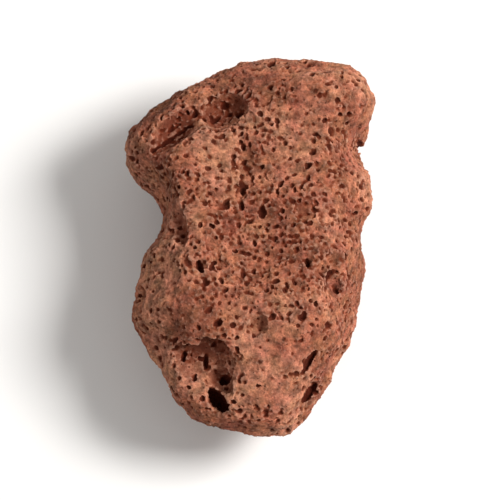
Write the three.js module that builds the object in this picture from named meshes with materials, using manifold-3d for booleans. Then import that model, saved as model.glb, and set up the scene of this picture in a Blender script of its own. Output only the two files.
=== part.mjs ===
// One lump of red scoria (lava rock), a single natural piece lying on a flat broken face.
//
// Millimetres, +Z up. The lump is longest along Y and widest along X. The origin is on the surface that it
// rests on, under the middle of its bounding box.
//
// The body is a closed mesh laid on the surface of a distance function, "how far outside the rock is this
// point". That distance is built up from the plan outline, the broken faces above and below, the lobes, the
// dents and some lumpy noise. The largest gas holes (vesicles) are then cut out of the body as solids.

import * as THREE from "three";
import { ImprovedNoise } from "three/addons/math/ImprovedNoise.js";
import { mergeVertices } from "three/addons/utils/BufferGeometryUtils.js";
import Module from "manifold-3d";

// ---- driving dimensions ----
const LENGTH = 83; // along Y
const WIDTH = 53; // along X
const HEIGHT = 37; // level of the broad upper face above the resting face
const BELT = 17; // height at which the lump is widest
const HEART = [0, 8, 18]; // point inside the lump from which all of its surface can be seen
const TAPER_UP = 0.2; // how far the side wall leans in for each millimetre above the belt
const TAPER_DOWN = 0.34; // and for each millimetre below it
const BELT_ROUNDING = 5; // how gradually the lean sets in
const EDGE_ROUNDING = 7; // blend between side wall and faces
const FACE_ROUNDING = 3; // blend between one broken face and the next
const OUTLINE_STEPS = 150; // straight pieces in the plan outline
const BODY_DETAIL = 16; // subdivision of the body's icosahedron
const MARCH_STEP = 0.6; // length of one step along a ray
const BISECTIONS = 12; // halvings of the last step
const SLOPE_STEP = 0.05; // half the distance over which the slope of the distance function is taken
const LONGEST_MOVE = 1; // furthest that a mesh point moves at once when it is brought back to the surface
const SETTLING_MOVES = 3;
const EVENING_ROUNDS = 12; // times that the mesh points are spread out evenly
const MERGE_DISTANCE = 1e-4;
const CUT_MARGIN = 20; // how far the block that trims the resting face stands past the lump
const FAR = 70; // distance from the middle at which aiming lines start
const HOLE_DETAIL = 1; // subdivision of a gas hole's icosahedron

// Plan outline as shares of half the width and half the length, counter-clockwise from the right-hand side.
const OUTLINE = [
  [0.94, -0.08], [0.92, 0.05], [0.98, 0.16], [1.0, 0.3], [0.98, 0.4], [0.9, 0.475], [0.89, 0.54], [0.99, 0.61],
  [1.0, 0.7], [0.91, 0.81], [0.77, 0.88], [0.61, 0.945], [0.4, 1.0], [0.1, 0.99], [-0.1, 0.975], [-0.38, 0.905],
  [-0.67, 0.785], [-0.99, 0.6], [-0.96, 0.5], [-0.87, 0.4], [-0.75, 0.3], [-0.71, 0.2], [-0.75, 0.08],
  [-0.83, -0.03], [-0.84, -0.22], [-0.92, -0.37], [-0.75, -0.52], [-0.64, -0.7], [-0.44, -0.86], [-0.16, -0.93],
  [0, -0.98], [0.2, -0.99], [0.39, -0.92], [0.6, -0.74], [0.8, -0.5], [0.87, -0.3],
];

// Broken faces: the way each one faces and its tilt from level, in degrees, and how far out from the middle
// it starts, measured at the level of the broad upper face or of the resting face.
const TOP_FACES = [
  { facing: 100, tilt: 2.5, starts: -9 },
  { facing: 5, tilt: 24, starts: 16 },
  { facing: 288, tilt: 26, starts: 20 },
  { facing: 183, tilt: 34, starts: 12.5 },
  { facing: 232, tilt: 42, starts: 25 },
  { facing: 78, tilt: 24, starts: 29 },
  { facing: 128, tilt: 26, starts: 22.5 },
];
const UNDER_FACES = [
  { facing: 95, tilt: 25, starts: 14 },
  { facing: 268, tilt: 32, starts: 17 },
  { facing: 12, tilt: 35, starts: 10 },
  { facing: 176, tilt: 32, starts: 9 },
  { facing: 230, tilt: 34, starts: 13 },
  { facing: 318, tilt: 32, starts: 14 },
];

// Directions of the lines that place dents and gas holes.
const DOWN = { into: [0, 0, -1] };
const UP = { into: [0, 0, 1] };
const FROM_LEFT = { into: [1, 0, 0] };
const FROM_RIGHT = { into: [-1, 0, 0] };
const FROM_NEAR = { into: [0, 1, 0] };
const FROM_FAR = { into: [0, -1, 0] };

// Swellings: centre, half-sizes, turn about Z in degrees, and how softly each one blends in.
const LOBES = [
  { at: [-17, -12, 22], half: [5.2, 9.5, 9], turn: -6, soft: 3 }, // rounded lobe on the left side
  { at: [17, 30.5, 26], half: [9, 7, 10], turn: 20, soft: 4 }, // far right shoulder
  { at: [-19, 19.5, 20], half: [6.5, 5.5, 9], turn: 0, soft: 3 }, // far left corner
];

// Dents: a point on the line that finds the surface, how far the dent's middle stands out from the surface,
// its half-sizes, turn about Z in degrees, and how softly it blends in.
const DENTS = [
  { ...DOWN, through: [-14.8, 21.8, 0], out: 0.4, half: [7, 2.6, 3.6], turn: 36, soft: 1.6 }, // trough
  { ...DOWN, through: [-4.6, 27, 0], out: 1.2, half: [5, 3.2, 4], turn: 20, soft: 2 }, // pit at its end
  { ...DOWN, through: [-0.6, 8, 0], out: 8.4, half: [9, 24, 10], turn: 3, soft: 6 }, // valley
  { ...DOWN, through: [18.6, -10.4, 0], out: 1.4, half: [2.6, 4, 3.2], turn: 25, soft: 2 },
  { ...DOWN, through: [-9, -31, 0], out: 2.4, half: [7, 8.5, 6], turn: -20, soft: 2 }, // near left scoop
  { ...FROM_LEFT, through: [0, 7, 27], out: 2, half: [4.5, 6, 9], turn: 0, soft: 4 }, // waist
  { ...FROM_LEFT, through: [0, -27, 12], out: 1.8, half: [4, 7, 7], turn: 15, soft: 4 },
  { ...FROM_RIGHT, through: [0, -12, 11], out: 1, half: [3.5, 9, 4.5], turn: 8, soft: 3 },
  { ...FROM_NEAR, through: [6, 0, 9], out: 2.4, half: [8, 4, 6], turn: -10, soft: 4 },
  { ...FROM_FAR, through: [4, 0, 15], out: 1, half: [9, 3.5, 5], turn: -12, soft: 3 },
  { ...UP, through: [-13, -22, 0], out: 1, half: [8, 5, 3.5], turn: 30, soft: 2.5 },
  { ...UP, through: [12, 22, 0], out: 1, half: [9, 5, 3.5], turn: 60, soft: 2.5 },
];

// Roughness of the body: size of the lumps and how far they stand.
const LUMPS = [
  { size: 15, stand: 1.5, shift: 3.1 },
  { size: 6.5, stand: 1, shift: 17.7 },
  { size: 3.4, stand: 0.5, shift: 5.3 },
];

// Largest gas holes: placed as the dents are, with the middle on the surface.
const GAS_HOLES = [
  { ...DOWN, through: [-5.8, -35, 0], half: [3.1, 1.5, 4.6], turn: -55 }, // long deep hole in the scoop
  { ...DOWN, through: [-4.4, -30.2, 0], half: [1.3, 1.2, 3], turn: 0 },
  { ...DOWN, through: [-9.8, -7.2, 0], half: [1.8, 1.4, 2], turn: 70 },
  { ...DOWN, through: [13.1, -6.5, 0], half: [1.1, 1.7, 2.2], turn: 0 },
  { ...DOWN, through: [18.9, -11, 0], half: [1.9, 1.3, 2], turn: -40 },
  { ...DOWN, through: [-1, 8.8, 0], half: [1.2, 1.2, 2.2], turn: 20 },
  { ...DOWN, through: [12.9, -27, 0], half: [2.1, 1, 1.8], turn: 62 },
  { ...DOWN, through: [13, -32.6, 0], half: [2.6, 1, 1.9], turn: 56 },
  { ...DOWN, through: [-3.2, 25.4, 0], half: [1.7, 1.3, 2], turn: 25 },
  { ...FROM_LEFT, through: [0, 20, 22], half: [2.4, 1.6, 1.4], turn: 30 },
  { ...FROM_LEFT, through: [0, -18, 14], half: [2.6, 2, 1.4], turn: 0 },
  { ...FROM_RIGHT, through: [0, 6, 15], half: [2.6, 1.5, 2], turn: 15 },
  { ...FROM_RIGHT, through: [0, -22, 20], half: [2.3, 1.9, 1.4], turn: 0 },
  { ...FROM_RIGHT, through: [0, 33, 20], half: [2.2, 1.4, 1.8], turn: 45 },
  { ...FROM_NEAR, through: [8, 0, 21], half: [1.8, 2.5, 1.4], turn: 10 },
  { ...FROM_FAR, through: [-8, 0, 19], half: [1.4, 2.6, 2.2], turn: 30 },
  { ...FROM_FAR, through: [10, 0, 25], half: [1.5, 2.2, 1.5], turn: 0 },
  { ...UP, through: [-11, 26, 0], half: [2.2, 1.5, 2.6], turn: 35 },
  { ...UP, through: [14, -20, 0], half: [1.8, 1.5, 2.4], turn: 0 },
  { ...UP, through: [2, -30, 0], half: [1.5, 2.1, 2.3], turn: 20 },
];

// ---- distance functions: negative inside the rock, positive outside ----

function smoothMax(a, b, soft) {
  const overlap = Math.max(soft - Math.abs(a - b), 0) / soft;
  return Math.max(a, b) + (overlap * overlap * soft) / 4;
}

function smoothMin(a, b, soft) {
  return -smoothMax(-a, -b, soft);
}

function outlinePoints() {
  const corners = OUTLINE.map(([x, y]) => new THREE.Vector3((x * WIDTH) / 2, (y * LENGTH) / 2, 0));
  return new THREE.CatmullRomCurve3(corners, true, "centripetal").getPoints(OUTLINE_STEPS).slice(0, -1);
}

const outline = outlinePoints();

// Distance from (x, y) to the plan outline, negative within it.
function outlineDistance(x, y) {
  let nearest = Infinity;
  let inside = false;
  outline.forEach((start, i) => {
    const end = outline[(i + 1) % outline.length];
    const [dx, dy] = [end.x - start.x, end.y - start.y];
    const share = THREE.MathUtils.clamp(((x - start.x) * dx + (y - start.y) * dy) / (dx * dx + dy * dy), 0, 1);
    nearest = Math.min(nearest, Math.hypot(x - start.x - share * dx, y - start.y - share * dy));
    const crosses = start.y > y !== end.y > y && x < start.x + ((y - start.y) / dy) * dx;
    if (crosses) inside = !inside;
  });
  return inside ? -nearest : nearest;
}

function wallDistance(p) {
  const offBelt = Math.hypot(p.z - BELT, BELT_ROUNDING) - BELT_ROUNDING;
  return outlineDistance(p.x, p.y) + offBelt * (p.z > BELT ? TAPER_UP : TAPER_DOWN);
}

// Distance past one broken face, where rise is the height above the level that the face starts from.
function faceDistance(p, face, rise) {
  const facing = THREE.MathUtils.degToRad(face.facing);
  const tilt = THREE.MathUtils.degToRad(face.tilt);
  const outwards = p.x * Math.cos(facing) + p.y * Math.sin(facing) - face.starts;
  return outwards * Math.sin(tilt) + rise * Math.cos(tilt);
}

function facesDistance(p, faces, rise) {
  return faces.map((face) => faceDistance(p, face, rise)).reduce((a, b) => smoothMax(a, b, FACE_ROUNDING));
}

// Rough distance to a turned ellipsoid, good enough to blend with.
function ellipsoidDistance(p, { at, half, turn }) {
  const turned = new THREE.Vector3(p.x - at[0], p.y - at[1], p.z - at[2]);
  turned.applyAxisAngle(new THREE.Vector3(0, 0, 1), -THREE.MathUtils.degToRad(turn));
  const scaled = Math.hypot(turned.x / half[0], turned.y / half[1], turned.z / half[2]);
  return (scaled - 1) * Math.min(...half);
}

const noise = new ImprovedNoise();

function lumpHeight(p) {
  return LUMPS.reduce((sum, { size, stand, shift }) => {
    return sum + stand * noise.noise(p.x / size + shift, p.y / size + shift, p.z / size + shift);
  }, 0);
}

// The rock before its dents.
function formDistance(p) {
  const top = facesDistance(p, TOP_FACES, p.z - HEIGHT);
  const underside = facesDistance(p, UNDER_FACES, -p.z);
  let distance = smoothMax(smoothMax(top, underside, FACE_ROUNDING), wallDistance(p), EDGE_ROUNDING);
  for (const lobe of LOBES) distance = smoothMin(distance, ellipsoidDistance(p, lobe), lobe.soft);
  return distance - lumpHeight(p);
}

// Where the line through a point first meets a surface, coming from far away.
function meetingPoint(distanceTo, { through, into }) {
  const direction = new THREE.Vector3(...into);
  const point = new THREE.Vector3(...through).addScaledVector(direction, -FAR);
  while (distanceTo(point) > 0) point.addScaledVector(direction, MARCH_STEP / 4);
  return point;
}

const dents = DENTS.map((dent) => {
  const middle = meetingPoint(formDistance, dent).addScaledVector(new THREE.Vector3(...dent.into), -dent.out);
  return { ...dent, at: middle.toArray() };
});

function rockDistance(p) {
  return dents.reduce((distance, dent) => {
    return smoothMax(distance, -ellipsoidDistance(p, dent), dent.soft);
  }, formDistance(p));
}

// ---- body ----

// First point of the surface from start along a direction.
function surfacePoint(start, direction) {
  const at = (reach) => start.clone().addScaledVector(direction, reach);
  let near = 0;
  while (rockDistance(at(near + MARCH_STEP)) < 0) near += MARCH_STEP;
  let far = near + MARCH_STEP;
  for (let i = 0; i < BISECTIONS; i++) {
    const middle = (near + far) / 2;
    if (rockDistance(at(middle)) < 0) near = middle;
    else far = middle;
  }
  return at(far);
}

// Direction and steepness in which the distance grows.
function slopeAt(p) {
  const rise = (axis) => {
    const ahead = new THREE.Vector3().setComponent(axis, SLOPE_STEP).add(p);
    const behind = new THREE.Vector3().setComponent(axis, -SLOPE_STEP).add(p);
    return (rockDistance(ahead) - rockDistance(behind)) / (2 * SLOPE_STEP);
  };
  return new THREE.Vector3(rise(0), rise(1), rise(2));
}

// Brings a point near the surface onto it.
function settled(p) {
  for (let i = 0; i < SETTLING_MOVES; i++) {
    const slope = slopeAt(p);
    p.sub(slope.multiplyScalar(rockDistance(p) / slope.lengthSq()).clampLength(0, LONGEST_MOVE));
  }
  return p;
}

function neighbourLists(geometry) {
  const lists = Array.from({ length: geometry.getAttribute("position").count }, () => new Set());
  const corners = geometry.index.array;
  for (let i = 0; i < corners.length; i += 3) {
    const [a, b, c] = corners.slice(i, i + 3);
    lists[a].add(b);
    lists[b].add(c);
    lists[c].add(a);
  }
  return lists;
}

// Moves every mesh point to the middle of its neighbours and back onto the surface.
function evenOut(points, neighbours) {
  return points.map((point, i) => {
    const middle = new THREE.Vector3();
    for (const neighbour of neighbours[i]) middle.add(points[neighbour]);
    return settled(middle.divideScalar(neighbours[i].size));
  });
}

function bodyGeometry() {
  const geometry = closed(new THREE.IcosahedronGeometry(1, BODY_DETAIL));
  const heart = new THREE.Vector3(...HEART);
  const position = geometry.getAttribute("position");
  let points = Array.from({ length: position.count }, (_, i) => {
    const target = new THREE.Vector3().fromBufferAttribute(position, i);
    target.multiply(new THREE.Vector3(WIDTH / 2, LENGTH / 2, HEIGHT / 2)).setZ(target.z + HEIGHT / 2);
    return surfacePoint(heart, target.sub(heart).normalize());
  });
  const neighbours = neighbourLists(geometry);
  for (let round = 0; round < EVENING_ROUNDS; round++) points = evenOut(points, neighbours);
  points.forEach((point, i) => position.setXYZ(i, ...point));
  return geometry;
}

// ---- solids ----

const wasm = await Module();
wasm.setup();

function closed(geometry) {
  geometry.deleteAttribute("normal");
  geometry.deleteAttribute("uv");
  return mergeVertices(geometry, MERGE_DISTANCE);
}

function solidOf(geometry) {
  const vertProperties = new Float32Array(geometry.getAttribute("position").array);
  const triVerts = new Uint32Array(geometry.index.array);
  return new wasm.Manifold(new wasm.Mesh({ numProp: 3, vertProperties, triVerts }));
}

function geometryOf(solid) {
  const { vertProperties, triVerts } = solid.getMesh();
  const geometry = new THREE.BufferGeometry();
  geometry.setAttribute("position", new THREE.BufferAttribute(vertProperties, 3));
  geometry.setIndex(new THREE.BufferAttribute(triVerts, 1));
  geometry.computeVertexNormals();
  return geometry;
}

// Everything below the resting face, as a block that trims the body flat.
function groundBlock() {
  const geometry = new THREE.BoxGeometry(WIDTH + CUT_MARGIN, LENGTH + CUT_MARGIN, CUT_MARGIN);
  return solidOf(closed(geometry.translate(0, 0, -CUT_MARGIN / 2)));
}

function holeSolid(hole) {
  const geometry = new THREE.IcosahedronGeometry(1, HOLE_DETAIL);
  geometry.scale(...hole.half);
  geometry.rotateZ(THREE.MathUtils.degToRad(hole.turn));
  geometry.translate(...meetingPoint(rockDistance, hole));
  return solidOf(closed(geometry));
}

function rockSolid() {
  const trimmed = solidOf(bodyGeometry()).subtract(groundBlock());
  return GAS_HOLES.reduce((rock, hole) => rock.subtract(holeSolid(hole)), trimmed);
}

// Stands the rock on its resting face with the origin below the middle of it.
function centred(geometry) {
  geometry.computeBoundingBox();
  const middle = geometry.boundingBox.getCenter(new THREE.Vector3());
  return geometry.translate(-middle.x, -middle.y, -geometry.boundingBox.min.z);
}

const rock = new THREE.Mesh(
  centred(geometryOf(rockSolid())),
  new THREE.MeshStandardMaterial({ color: 0x935b44, roughness: 0.95, metalness: 0 }),
);
rock.name = "lava_rock";

const part = new THREE.Group();
part.add(rock);
export default part;
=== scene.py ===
import math
import random
from functools import partial

import bpy
import numpy as np
from mathutils import Matrix, Vector, noise
from mathutils.bvhtree import BVHTree


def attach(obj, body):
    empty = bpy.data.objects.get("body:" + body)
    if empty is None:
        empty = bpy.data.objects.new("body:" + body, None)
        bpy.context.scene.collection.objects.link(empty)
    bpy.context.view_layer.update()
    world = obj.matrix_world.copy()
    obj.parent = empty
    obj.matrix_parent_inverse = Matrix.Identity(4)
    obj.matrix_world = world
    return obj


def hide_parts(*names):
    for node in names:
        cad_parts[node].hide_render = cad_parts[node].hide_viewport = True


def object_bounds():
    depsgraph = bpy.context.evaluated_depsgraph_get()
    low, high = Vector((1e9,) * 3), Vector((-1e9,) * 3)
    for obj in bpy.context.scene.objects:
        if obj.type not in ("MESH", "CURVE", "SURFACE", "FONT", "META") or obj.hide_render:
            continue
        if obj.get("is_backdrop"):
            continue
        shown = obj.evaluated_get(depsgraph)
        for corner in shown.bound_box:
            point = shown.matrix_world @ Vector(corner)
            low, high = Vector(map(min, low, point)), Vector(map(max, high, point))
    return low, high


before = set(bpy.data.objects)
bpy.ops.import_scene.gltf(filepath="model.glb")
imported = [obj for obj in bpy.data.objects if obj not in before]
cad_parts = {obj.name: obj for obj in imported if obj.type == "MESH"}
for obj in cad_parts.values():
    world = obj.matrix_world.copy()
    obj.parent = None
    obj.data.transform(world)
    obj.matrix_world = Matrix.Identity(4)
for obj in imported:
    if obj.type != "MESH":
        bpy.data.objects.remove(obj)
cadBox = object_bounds()
mm = 0.001
print("packed lump loaded")


def selectOnly(*objects):
    bpy.ops.object.select_all(action="DESELECT")
    for obj in objects:
        obj.select_set(True)
    bpy.context.view_layer.objects.active = objects[0]


def applyModifier(obj, kind, **settings):
    selectOnly(obj)
    modifier = obj.modifiers.new(kind.title(), kind)
    for name, value in settings.items():
        setattr(modifier, name, value)
    bpy.ops.object.modifier_apply(modifier=modifier.name)


def remesh(obj, voxel):  # even faces all over, and one skin where shapes overlap
    applyModifier(obj, "REMESH", mode="VOXEL", voxel_size=voxel)


def smooth(obj, rounds):
    applyModifier(obj, "SMOOTH", factor=0.5, iterations=rounds)


def roughen(obj, name, kind, grain, height, **settings):  # moves the surface in and out by a texture
    texture = bpy.data.textures.new(name, kind)
    texture.noise_scale = grain
    for key, value in settings.items():
        setattr(texture, key, value)
    applyModifier(obj, "DISPLACE", texture=texture, texture_coords="LOCAL", strength=height, mid_level=0.5)


# the lump before its gas holes
lump = {
    "node": "lava_rock",
    "name": "lavaRock",
    "mergeWithin": 0.001 * mm,
    "voxel": 0.6 * mm,  # loses the solid's facets and keeps its hollows
    "smoothing": 6,
    "swell": {"grain": 9 * mm, "height": 1.0 * mm},
    "chips": {"grain": 5 * mm, "height": 0.9 * mm},
    "crust": {"grain": 2.0 * mm, "height": 0.6 * mm},
}


def makeLump():
    selectOnly(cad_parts[lump["node"]])
    bpy.ops.object.duplicate()
    rock = bpy.context.active_object
    rock.parent = None
    for key in list(rock.keys()):
        del rock[key]
    rock.name = rock.data.name = lump["name"]
    bpy.ops.object.mode_set(mode="EDIT")
    bpy.ops.mesh.select_all(action="SELECT")
    bpy.ops.mesh.remove_doubles(threshold=lump["mergeWithin"])
    bpy.ops.object.mode_set(mode="OBJECT")
    remesh(rock, lump["voxel"])
    smooth(rock, lump["smoothing"])
    roughen(rock, "swell", "CLOUDS", **lump["swell"], noise_depth=1)
    roughen(rock, "chips", "VORONOI", **lump["chips"], distance_metric="DISTANCE")
    roughen(rock, "crust", "CLOUDS", **lump["crust"], noise_depth=2)
    return rock


rock = makeLump()
print("lump with its crust:", len(rock.data.polygons), "faces")

# hollows and gas holes that show one by one, each as x, y, half length, half width, depth and turn, in mm
# and degrees. A hollow is a burst bubble or a crease with a soft edge, and has smaller holes in it. Its ball
# stands above the surface, so it comes out about an eighth shorter and narrower than its row says.
namedHollows = [
    (-11.0, -28.6, 7.8, 5.6, 1.2, -42), (-7.0, -25.4, 4.4, 3.0, 1.3, -62),  # the scoop and its deep corner
    (-16.6, 22.2, 8.6, 4.4, 4.0, 36), (-5.8, 26.6, 5.8, 4.2, 3.2, 28),  # the trough and the pit beside it
    (-17.6, 20.8, 5.0, 1.6, 2.0, 34), (-15.0, 24.2, 4.6, 0.9, 0.9, 36),  # grooves along the trough
    (-16.0, 2.6, 6.8, 2.4, 1.6, -69), (-1.0, 12.0, 9.0, 2.2, 1.0, 92),  # the waist's crease and the valley
]
namedHoles = [
    # beside the scoop and in it
    (-6.5, -34.5, 3.6, 1.5, 4.6, -47), (-5.3, -30.2, 1.15, 1.1, 3.2, 0),
    (-13.8, -25.4, 1.3, 0.6, 1.6, 70), (-9.4, -26.7, 1.9, 0.6, 1.8, 85), (-11.5, -30.0, 1.0, 0.5, 1.2, 80),
    # slots in the smooth facet, and the notch under the shoulder
    (12.1, -27.0, 2.3, 0.75, 1.8, 60), (12.2, -32.2, 2.8, 0.8, 2.0, 52), (23.5, 22.6, 1.1, 1.2, 8.0, 0),
    # single ones over the broad face
    (17.8, -11.8, 0.8, 0.7, 1.2, 120), (11.8, -7.3, 1.1, 0.6, 1.5, 90), (16.2, -19.7, 0.8, 0.8, 1.3, 0),
    (10.7, -19.1, 0.9, 0.7, 1.4, 0), (4.5, -18.9, 0.8, 0.7, 1.3, 80), (9.7, -30.0, 0.7, 0.6, 1.0, 0),
    (5.3, -11.6, 0.9, 0.7, 1.3, 0), (-1.4, -9.7, 0.7, 0.7, 1.2, 0), (-6.7, -20.3, 1.0, 0.8, 1.5, 20),
    (-10.4, -8.2, 1.3, 0.8, 1.5, 110), (-9.2, -11.7, 0.8, 0.7, 1.5, 0), (-15.8, -22.5, 0.9, 0.7, 1.3, 0),
    (-1.6, 8.8, 0.9, 0.6, 1.5, 90), (-1.8, 5.3, 1.1, 0.6, 1.4, 90), (-5.1, 5.8, 1.1, 0.6, 1.3, 60),
    (12.1, 13.8, 0.9, 0.7, 1.4, 40), (13.0, 16.6, 0.8, 0.6, 1.2, 0), (4.1, 31.2, 0.7, 0.6, 1.1, 0),
    # streaks and small pits in the trough
    (-18.0, 20.4, 2.8, 0.5, 0.9, 34), (-13.2, 20.6, 3.0, 0.35, 0.9, 29), (-15.6, 24.0, 2.0, 0.3, 0.7, 36),
    (-16.4, 21.8, 2.8, 0.5, 1.1, 36), (-14.0, 23.2, 1.3, 0.5, 1.1, 36), (-16.8, 23.4, 0.9, 0.45, 1.0, 40),
    (-14.6, 21.4, 0.8, 0.5, 1.0, 30), (-12.6, 23.8, 0.7, 0.5, 1.2, 20),
    (-20.4, 18.8, 0.9, 0.6, 1.5, 40), (-11.8, 26.0, 1.0, 0.6, 1.3, 30),
    # small ones in the pit
    (-2.2, 25.9, 0.95, 0.85, 2.0, 30), (-7.6, 25.3, 0.9, 0.7, 1.6, 50), (-5.4, 28.4, 0.9, 0.7, 1.5, 20),
    (-2.4, 31.0, 0.7, 0.6, 1.4, 0), (-8.4, 29.4, 0.8, 0.6, 1.3, 70), (-4.4, 26.6, 0.6, 0.5, 1.3, 0),
]

# hollows and holes that are scattered, by kind: how many, half size in mm as smallest, middle and largest,
# how deep they sink as a share of that, and how near two may come as a share of their sizes
scatteredHollows = {"dish": {"count": 70, "size": (1.5, 2.1, 3.6), "sink": (-0.75, -0.5), "apart": 0.9}}
scatteredHoles = {
    "wide": {"count": 120, "size": (0.6, 0.72, 1.15), "sink": (-0.25, 0.35), "apart": 1.0},
    "small": {"count": 3500, "size": (0.34, 0.44, 0.62), "sink": (-0.1, 0.5), "apart": 1.02},
    "fine": {"count": 2000, "size": (0.22, 0.28, 0.36), "sink": (0, 0.4), "apart": 1.0},
}

# patches with fewer or more holes than the rest: middle and reach in mm, and how many times the usual share
patches = [
    ((-17.7, -15, 32), 11, 0.3), ((8, -28, 33), 12, 0.2), ((18, 30, 35), 12, 0.35), ((-16, 30, 28), 9, 0.6),
    ((-14, -32, 25), 11, 0.3), ((5, 38, 28), 13, 0.35), ((25, 0, 25), 12, 0.5), ((2, -40, 20), 14, 0.3),
    ((-22, -22, 18), 13, 0.4),
    ((2, -2, 35), 19, 3.2), ((15, -18, 34), 7, 1.9), ((-6, 8, 35), 9, 1.5), ((-5, 28, 33), 6, 4.0),
]

# how hollows and holes are shaped and spread
holeShape = {
    "seed": 41,
    "shapes": 9,  # how many different balls the holes are cut with, from round to long
    "roundest": 3,  # how many of them serve for the named ones, which bring their own length
    "longest": 1.5,
    "unevenness": 0.3,
    "sizeSpread": 0.3,
    "lean": 0.3,  # radians off the surface's own upright
    "hollowRise": 1,  # how many depths the middle of a named hollow's ball stands above the surface
    "hollowVoxel": 0.4 * mm,
    "hollowSmoothing": 2,
    "holeVoxel": 0.17 * mm,
    "clusterReach": 7 * mm,
    "clusterPull": 1.1,  # how much fuller a cluster is than the rock around it
    "usualShare": 0.7, "leastShare": 0.2,
    "fullShare": 2,  # the share at which every hole is kept
    "triesEach": 40,  # places tried for each hole before the rest are given up
}


def holeBalls(fineness):  # uneven balls, each a little different, that cut the gas holes
    balls = []
    for k in range(holeShape["shapes"]):
        stretch = 1 + (holeShape["longest"] - 1) * k / (holeShape["shapes"] - 1)
        bpy.ops.object.select_all(action="DESELECT")
        bpy.ops.mesh.primitive_ico_sphere_add(subdivisions=fineness, radius=1)
        ball = bpy.context.active_object
        bpy.ops.object.mode_set(mode="EDIT")
        bpy.ops.transform.vertex_random(offset=holeShape["unevenness"], seed=k + 1)
        if fineness > 2:
            bpy.ops.mesh.vertices_smooth(factor=0.5, repeat=2)
        bpy.ops.transform.resize(value=(stretch, 1 / math.sqrt(stretch), 1))
        bpy.ops.object.mode_set(mode="OBJECT")
        balls.append(ball)
    return balls


def holeShare(point):  # how likely a hole is here. A patch is full over the inner half of its reach
    share = 1.0
    for middle, reach, kept in patches:
        near = 1 - min((point - Vector(middle) * mm).length / (reach * mm), 1)
        share *= 1 + (kept - 1) * min(2 * near, 1)
    cluster = holeShape["clusterPull"] * noise.noise(point / holeShape["clusterReach"])
    return share * max(holeShape["leastShare"], holeShape["usualShare"] + cluster)


def scatter(kinds, balls, rng):  # places the holes of each kind over the rock, widest kind first
    faces = rock.data.polygons
    places = np.zeros((0, 3))
    sizes = np.zeros(0)
    copies = []
    for kind in kinds.values():
        smallest, middle, largest = kind["size"]
        placed = tries = 0
        while placed < kind["count"] and tries < holeShape["triesEach"] * kind["count"]:
            tries += 1
            face = faces[rng.randrange(len(faces))]
            size = middle * rng.lognormvariate(0, holeShape["sizeSpread"])
            size = min(max(size, smallest), largest) * mm
            if rng.random() * holeShape["fullShare"] > holeShare(face.center):
                continue
            gaps = np.linalg.norm(places - np.array(face.center), axis=1)
            if (gaps < kind["apart"] * (sizes + size)).any():
                continue
            places = np.vstack([places, face.center])
            sizes = np.append(sizes, size)
            upright = face.normal.to_track_quat("Z", "Y").to_matrix().to_4x4()
            lean = Matrix.Rotation(rng.gauss(0, holeShape["lean"]), 4, "X")
            lean = lean @ Matrix.Rotation(rng.uniform(0, math.tau), 4, "Z")
            sunk = Matrix.Translation(face.center - face.normal * rng.uniform(*kind["sink"]) * size)
            copies.append(copyOf(rng.choice(balls), sunk @ upright @ lean @ Matrix.Scale(size, 4)))
            placed += 1
    return copies


def placeNamed(rows, balls, raised=0):  # a ball's middle stands that many depths above the surface
    copies = []
    for k, (x, y, length, width, depth, turn) in enumerate(rows):
        found, place, *_ = rock.ray_cast(Vector((x * mm, y * mm, 1)), Vector((0, 0, -1)))
        if not found:
            raise ValueError(f"no rock under the hole at {x}, {y}")
        place.z += raised * depth * mm
        turned = Matrix.Translation(place) @ Matrix.Rotation(math.radians(turn), 4, "Z")
        half = Vector((length, width, depth * (1 + raised))) * mm
        copies.append(copyOf(balls[k % holeShape["roundest"]], turned @ Matrix.Diagonal(half).to_4x4()))
    return copies


def copyOf(ball, matrix):
    copy = ball.copy()
    copy.data = ball.data.copy()
    copy.matrix_world = matrix
    bpy.context.scene.collection.objects.link(copy)
    return copy


def cut(copies, voxel):  # the balls become one clean shape, which is cut out in one go
    selectOnly(*copies)
    bpy.ops.object.join()
    cutter = bpy.context.active_object
    bpy.ops.object.transform_apply()
    remesh(cutter, voxel)
    applyModifier(rock, "BOOLEAN", operation="DIFFERENCE", solver="MANIFOLD", object=cutter)
    bpy.data.objects.remove(cutter)


def surfaceNow():
    return BVHTree.FromObject(rock, bpy.context.evaluated_depsgraph_get())


def cutHollowsAndHoles():
    rng = random.Random(holeShape["seed"])
    beforeHollows = surfaceNow()
    balls = holeBalls(fineness=3)
    hollows = placeNamed(namedHollows, balls, holeShape["hollowRise"])
    cut(hollows + scatter(scatteredHollows, balls, rng), holeShape["hollowVoxel"])
    remesh(rock, holeShape["hollowVoxel"])
    smooth(rock, holeShape["hollowSmoothing"])
    print("hollows cut:", len(rock.data.polygons), "faces")

    beforeHoles = surfaceNow()
    roughBalls = holeBalls(fineness=2)
    copies = placeNamed(namedHoles, balls) + scatter(scatteredHoles, roughBalls, rng)
    cut(copies, holeShape["holeVoxel"])
    for ball in balls + roughBalls:
        bpy.data.objects.remove(ball)
    print(len(copies), "holes cut:", len(rock.data.polygons), "faces")
    return beforeHollows, beforeHoles


beforeHollows, beforeHoles = cutHollowsAndHoles()

# the broken surface between the holes
surface = {
    "voxel": 0.18 * mm,
    "smoothing": 1,
    "crumbs": {"grain": 1.1 * mm, "height": 0.4 * mm},
    "grit": {"grain": 0.7 * mm, "height": 0.35 * mm},
    "faces": 195000,
    "sharpAngle": math.radians(50),
}


def largestShell(obj):  # crumbs that the holes have cut loose are dropped
    selectOnly(obj)
    bpy.ops.object.mode_set(mode="EDIT")
    bpy.ops.mesh.select_all(action="SELECT")
    bpy.ops.mesh.separate(type="LOOSE")
    bpy.ops.object.mode_set(mode="OBJECT")
    *crumbs, largest = sorted(bpy.context.selected_objects, key=lambda shell: len(shell.data.vertices))
    for crumb in crumbs:
        bpy.data.objects.remove(crumb)
    largest.name = largest.data.name = lump["name"]
    return largest


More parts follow.
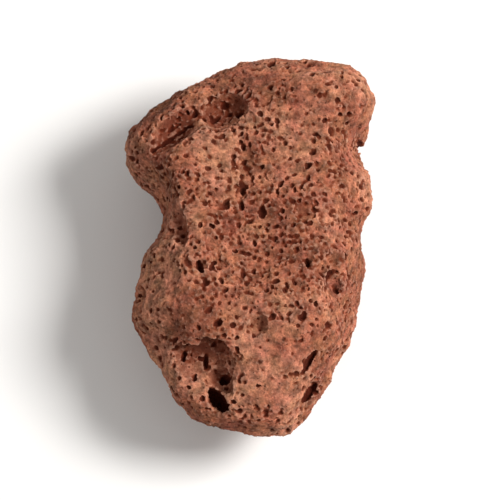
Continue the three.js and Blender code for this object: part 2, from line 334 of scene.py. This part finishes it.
def finishSurface():
    remesh(rock, surface["voxel"])
    smooth(rock, surface["smoothing"])
    roughen(rock, "crumbs", "VORONOI", **surface["crumbs"], distance_metric="DISTANCE")
    roughen(rock, "grit", "CLOUDS", **surface["grit"], noise_depth=2, noise_type="HARD_NOISE")
    applyModifier(rock, "TRIANGULATE")
    applyModifier(rock, "DECIMATE", ratio=surface["faces"] / len(rock.data.polygons))
    for vertex in rock.data.vertices:  # the resting face stays level
        vertex.co.z = max(vertex.co.z, cadBox[0][2])
    finished = largestShell(rock)
    selectOnly(finished)
    bpy.ops.object.shade_smooth_by_angle(angle=surface["sharpAngle"])
    return finished


rock = finishSurface()
print("surface finished:", len(rock.data.polygons), "triangles")

# three values at each point for the finish: how deep it lies in a hollow, how deep in a hole, and how far it
# stands out on a rim. The two depths steer painted shade in hollows and holes, the rim steers the paler
# rubbed rims
shadeAndWear = {"hollowDepth": 2.6 * mm, "holeDepth": 0.9 * mm, "rimRounds": 1}


def storeValues(name, values):
    attribute = rock.data.attributes.new(name, "FLOAT", "POINT")
    attribute.data.foreach_set("value", np.ascontiguousarray(values, np.float32))


def depthBelow(before, full):  # 0 on the surface as it was before, 1 at the full depth under it
    depth = np.zeros(len(rock.data.vertices))
    for vertex in rock.data.vertices:
        place, normal, _, distance = before.find_nearest(vertex.co)
        if (vertex.co - place).dot(normal) < 0:
            depth[vertex.index] = min(distance / full, 1)
    return depth


def readRims():  # how far the surface bends away around each point, above 0 on a rim
    count = len(rock.data.vertices)
    points = np.zeros(count * 3)
    normals = np.zeros(count * 3)
    rock.data.vertices.foreach_get("co", points)
    rock.data.vertices.foreach_get("normal", normals)
    points, normals = points.reshape(-1, 3), normals.reshape(-1, 3)
    ends = np.zeros(len(rock.data.edges) * 2, int)
    rock.data.edges.foreach_get("vertices", ends)
    a, b = ends.reshape(-1, 2).T
    step = points[b] - points[a]
    length = np.maximum(np.linalg.norm(step, axis=1), 1e-9)
    ways = np.bincount(a, minlength=count) + np.bincount(b, minlength=count)
    bend = np.bincount(a, -(normals[a] * step).sum(1) / length, count)
    bend += np.bincount(b, (normals[b] * step).sum(1) / length, count)
    bend /= ways
    for _ in range(shadeAndWear["rimRounds"]):
        around = np.bincount(a, bend[b], count) + np.bincount(b, bend[a], count)
        bend = 0.5 * bend + 0.5 * around / ways
    return bend


storeValues("hollowDepth", depthBelow(beforeHollows, shadeAndWear["hollowDepth"]))
storeValues("holeDepth", depthBelow(beforeHoles, shadeAndWear["holeDepth"]))
storeValues("rim", readRims())
print("wear read from the shape")


def linear(hexColour):  # sRGB hex to the linear colour that shaders take
    channels = [int(hexColour[i : i + 2], 16) / 255 for i in (1, 3, 5)]
    return [c / 12.92 if c < 0.04045 else ((c + 0.055) / 1.055) ** 2.4 for c in channels] + [1]


def addNode(tree, kind, settings=None, **links):  # one node with its settings, and what feeds its inputs
    node = tree.nodes.new(kind)
    inputs = {socket.identifier: socket for socket in node.inputs}
    for key, value in (settings or {}).items():
        if key == "stops":  # positions and colours along a colour ramp
            for _ in value[2:]:
                node.color_ramp.elements.new(0.5)
            for element, (position, colour) in zip(node.color_ramp.elements, value):
                element.position = position
                element.color = linear(colour)
        elif hasattr(node, key):
            setattr(node, key, value)
        else:
            inputs[key].default_value = value
    for key, output in links.items():
        tree.links.new(output, inputs[key])
    return node.outputs


# red scoria: basalt glass full of gas holes, oxidised red in its own heat and then broken by crushing.
# It gives a dull, dry, mottled brick brown, paler on rubbed edges; the redder, darker insides of its holes
# and hollows are painted shade.
scoria = {
    # plum is painted shade for the hollows; hollow and deep are painted shade inside the holes, and deep
    # also marks the small pores
    "clay": "#ac7459", "brick": "#9d6047", "umber": "#85503b", "pale": "#bd8b74", "plumShade": "#703726",
    "hollow": "#7a3219", "deep": "#481508", "ash": "#b17f65", "clinker": "#4e2416",
    "plumShadeAmount": 0.85, "paleAmount": 0.6, "holeShadeAmount": 0.9, "poreShadeAmount": 0.6,
    "patchSize": 13 * mm,
    "patchShift": (0, 0, 20 * mm),  # puts the paler patches on the smooth facets
    "tintSize": 4 * mm,
    "mottleSize": 1.8 * mm, "mottleAmount": 0.9,
    "grainSize": 0.5 * mm, "grainAmount": 0.6,
    "speckSize": 2.3 * mm, "speckShare": 0.07, "speckRaggedness": 0.5 * mm,
    "poreSize": 0.75 * mm,  # holes too small to cut, painted as dots of dark shade a little wider than real so that they show
    "bumpHeight": 0.45 * mm,
}


def makeScoria():
    material = bpy.data.materials.new("redScoriaBroken")
    material.use_nodes = True
    material.node_tree.nodes.clear()
    add = partial(addNode, material.node_tree)

    place = add("ShaderNodeTexCoord")["Object"]
    hollow = add("ShaderNodeAttribute", {"attribute_name": "hollowDepth"})["Fac"]
    hole = add("ShaderNodeAttribute", {"attribute_name": "holeDepth"})["Fac"]
    rim = add("ShaderNodeAttribute", {"attribute_name": "rim"})["Fac"]

    # patches of clay, brick and umber, with a finer mottle and the grain of the glass over them
    shifted = add("ShaderNodeMapping", {"Location": scoria["patchShift"]}, Vector=place)["Vector"]
    patch = add("ShaderNodeTexNoise", {"Scale": 1 / scoria["patchSize"], "Detail": 3}, Vector=shifted)["Fac"]
    mottle = add("ShaderNodeTexNoise", {"Scale": 1 / scoria["mottleSize"], "Detail": 4}, Vector=place)["Fac"]
    rough = {"Scale": 1 / scoria["grainSize"], "Detail": 4, "Roughness": 0.65}
    grain = add("ShaderNodeTexNoise", rough, Vector=place)["Fac"]
    stops = [(0.38, scoria["umber"]), (0.47, scoria["brick"]), (0.6, scoria["clay"])]
    colour = add("ShaderNodeValToRGB", {"stops": stops}, Fac=patch)["Color"]
    spread = {"From Min": 0.34, "From Max": 0.66, "To Min": 0.24, "To Max": 0.76}
    mottled = add("ShaderNodeMapRange", spread, Value=mottle)["Result"]
    grained = add("ShaderNodeMapRange", spread, Value=grain)["Result"]
    overlay = {"data_type": "RGBA", "blend_type": "OVERLAY", "Factor_Float": scoria["mottleAmount"]}
    colour = add("ShaderNodeMix", overlay, A_Color=colour, B_Color=mottled)["Result"]
    overlay["Factor_Float"] = scoria["grainAmount"]
    colour = add("ShaderNodeMix", overlay, A_Color=colour, B_Color=grained)["Result"]

    # the hue drifts a little, towards red here and towards yellow there
    drift = add("ShaderNodeTexNoise", {"Scale": 1 / scoria["tintSize"], "Detail": 2}, Vector=place)["Fac"]
    hues = {"From Min": 0.3, "From Max": 0.7, "To Min": 0.492, "To Max": 0.506}
    hue = add("ShaderNodeMapRange", hues, Value=drift)["Result"]
    colour = add("ShaderNodeHueSaturation", Hue=hue, Color=colour)["Color"]

    # a few pale and a few black crystals
    mix = {"data_type": "RGBA", "clamp_factor": True}
    ragged = add("ShaderNodeTexNoise", {"Scale": 1 / scoria["grainSize"]}, Vector=place)["Color"]
    raggedness = {"operation": "SCALE", "Scale": scoria["speckRaggedness"]}
    ragged = add("ShaderNodeVectorMath", raggedness, Vector=ragged)["Vector"]
    ragged = add("ShaderNodeVectorMath", Vector=place, Vector_001=ragged)["Vector"]
    specks = add("ShaderNodeTexVoronoi", {"Scale": 1 / scoria["speckSize"]}, Vector=ragged)
    chance = add("ShaderNodeSeparateColor", Color=specks["Color"])
    core = add("ShaderNodeMapRange", {"From Min": 0.3, "From Max": 0.15}, Value=specks["Distance"])["Result"]
    rare = {"operation": "GREATER_THAN", "Value_001": 1 - scoria["speckShare"]}
    for which, part in (("ash", "Red"), ("clinker", "Green")):
        chosen = add("ShaderNodeMath", rare, Value=chance[part])["Value"]
        amount = add("ShaderNodeMath", {"operation": "MULTIPLY"}, Value=core, Value_001=chosen)["Value"]
        settings = {**mix, "B_Color": linear(scoria[which])}
        colour = add("ShaderNodeMix", settings, Factor_Float=amount, A_Color=colour)["Result"]

    # hollows get a plum painted shade, rubbed rims are pale, and holes get painted shade that darkens
    # inwards
    shadeInHollow = {"From Min": 0.12, "From Max": 0.75, "To Max": scoria["plumShadeAmount"]}
    onRim = {"From Min": 0.07, "From Max": 0.26, "To Max": scoria["paleAmount"]}
    for which, where, span in (("plumShade", hollow, shadeInHollow), ("pale", rim, onRim)):
        amount = add("ShaderNodeMapRange", span, Value=where)["Result"]
        settings = {**mix, "B_Color": linear(scoria[which])}
        colour = add("ShaderNodeMix", settings, Factor_Float=amount, A_Color=colour)["Result"]
    # painted shade inside the holes, from the colour at the mouth to the darkest at depth
    stops = [(0.2, scoria["hollow"]), (0.8, scoria["deep"])]
    holeShadeColour = add("ShaderNodeValToRGB", {"stops": stops}, Fac=hole)["Color"]
    shadeInHole = {"From Min": 0.12, "From Max": 0.5, "To Max": scoria["holeShadeAmount"]}
    amount = add("ShaderNodeMapRange", shadeInHole, Value=hole)["Result"]
    colour = add("ShaderNodeMix", mix, Factor_Float=amount, A_Color=colour, B_Color=holeShadeColour)["Result"]

    # holes too small to cut: round pits of uneven size, in about half of the cells of a cell pattern,
    # painted with the dark shade that would lie in them and sunk by the bump
    cells = add("ShaderNodeTexVoronoi", {"Scale": 1 / scoria["poreSize"]}, Vector=place)
    chance = add("ShaderNodeSeparateColor", Color=cells["Color"])["Red"]
    reach = add("ShaderNodeMapRange", {"From Min": 0.45, "To Max": 0.36}, Value=chance)["Result"]
    minus = {"operation": "SUBTRACT"}
    within = add("ShaderNodeMath", minus, Value=reach, Value_001=cells["Distance"])["Value"]
    pore = add("ShaderNodeMapRange", {"From Max": 0.12}, Value=within)["Result"]
    share = {"operation": "MULTIPLY", "Value_001": scoria["poreShadeAmount"]}
    amount = add("ShaderNodeMath", share, Value=pore)["Value"]
    settings = {**mix, "B_Color": linear(scoria["deep"])}
    colour = add("ShaderNodeMix", settings, Factor_Float=amount, A_Color=colour)["Result"]

    height = add("ShaderNodeMath", minus, Value=grain, Value_001=pore)["Value"]
    bump = {"Strength": 1, "Distance": scoria["bumpHeight"]}
    normal = add("ShaderNodeBump", bump, Height=height)["Normal"]
    dullness = {"From Min": 0.3, "From Max": 0.7, "To Min": 0.84, "To Max": 0.98}
    roughness = add("ShaderNodeMapRange", dullness, Value=mottle)["Result"]
    glass = {"IOR": 1.5, "Diffuse Roughness": 1, "Specular IOR Level": 0.1}
    feeds = {"Base Color": colour, "Roughness": roughness, "Normal": normal}
    shader = add("ShaderNodeBsdfPrincipled", glass, **feeds)["BSDF"]
    add("ShaderNodeOutputMaterial", Surface=shader)
    return material


rock.data.materials.clear()
rock.data.materials.append(makeScoria())
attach(rock, "root")
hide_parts(lump["node"])
print("finish made")

# a plain pale floor, soft studio light, and a camera that looks steeply down on the rock
studio = {
    "floor": {"size": 3.0, "colour": "#e9e7e4", "roughness": 0.9},
    "sky": 0.48,
    "keyLight": {"place": (0.55, 0.05, 0.67), "size": 0.3, "power": 9.4},
    "fillLight": {"place": (-0.6, -0.4, 0.5), "size": 0.6, "power": 0.6},
    "elevation": math.radians(75),
    "lens": 300,
    "fill": 0.78,  # share of the frame's height that the rock takes up
    "sideShown": 0.4,  # share of the rock's height that shows beyond its length, seen from the camera
}


def makeFloor(level):
    bpy.ops.object.select_all(action="DESELECT")
    bpy.ops.mesh.primitive_plane_add(size=studio["floor"]["size"], location=(0, 0, level))
    floor = bpy.context.active_object
    floor.name = "floor"
    material = bpy.data.materials.new("floorPaint")
    material.use_nodes = True
    shader = material.node_tree.nodes["Principled BSDF"]
    shader.inputs["Base Color"].default_value = linear(studio["floor"]["colour"])
    shader.inputs["Roughness"].default_value = studio["floor"]["roughness"]
    floor.data.materials.append(material)
    floor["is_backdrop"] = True


def makeLights(middle):
    world = bpy.data.worlds.new("studio")
    world.use_nodes = True
    background = world.node_tree.nodes["Background"]
    background.inputs["Strength"].default_value = studio["sky"]
    background.inputs["Color"].default_value = (1, 1, 1, 1)
    bpy.context.scene.world = world
    for name in ("keyLight", "fillLight"):
        lamp = studio[name]
        light = bpy.data.lights.new(name, "AREA")
        light.size = lamp["size"]
        light.energy = lamp["power"]
        obj = bpy.data.objects.new(name, light)
        bpy.context.scene.collection.objects.link(obj)
        obj.location = lamp["place"]
        obj.rotation_euler = (middle - Vector(lamp["place"])).to_track_quat("-Z", "Y").to_euler()


def makeCamera(middle, size):
    camera = bpy.data.cameras.new("camera")
    camera.lens = studio["lens"]
    camera.clip_start = 0.01
    view = bpy.data.objects.new("camera", camera)
    bpy.context.scene.collection.objects.link(view)
    shownLength = math.sin(studio["elevation"]) * size.y
    shownSide = math.cos(studio["elevation"]) * size.z * studio["sideShown"]
    frameHeight = (shownLength + shownSide) / studio["fill"]
    distance = frameHeight * studio["lens"] / camera.sensor_width
    back = Vector((0, -math.cos(studio["elevation"]), math.sin(studio["elevation"])))
    view.location = middle + back * distance
    view.rotation_euler = (-back).to_track_quat("-Z", "Y").to_euler()
    bpy.context.scene.camera = view
    bpy.context.scene.view_settings.view_transform = "Standard"


low, high = (Vector(corner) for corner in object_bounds())
makeFloor(low.z)
makeLights((low + high) / 2)
makeCamera((low + high) / 2, high - low)
print("studio set")
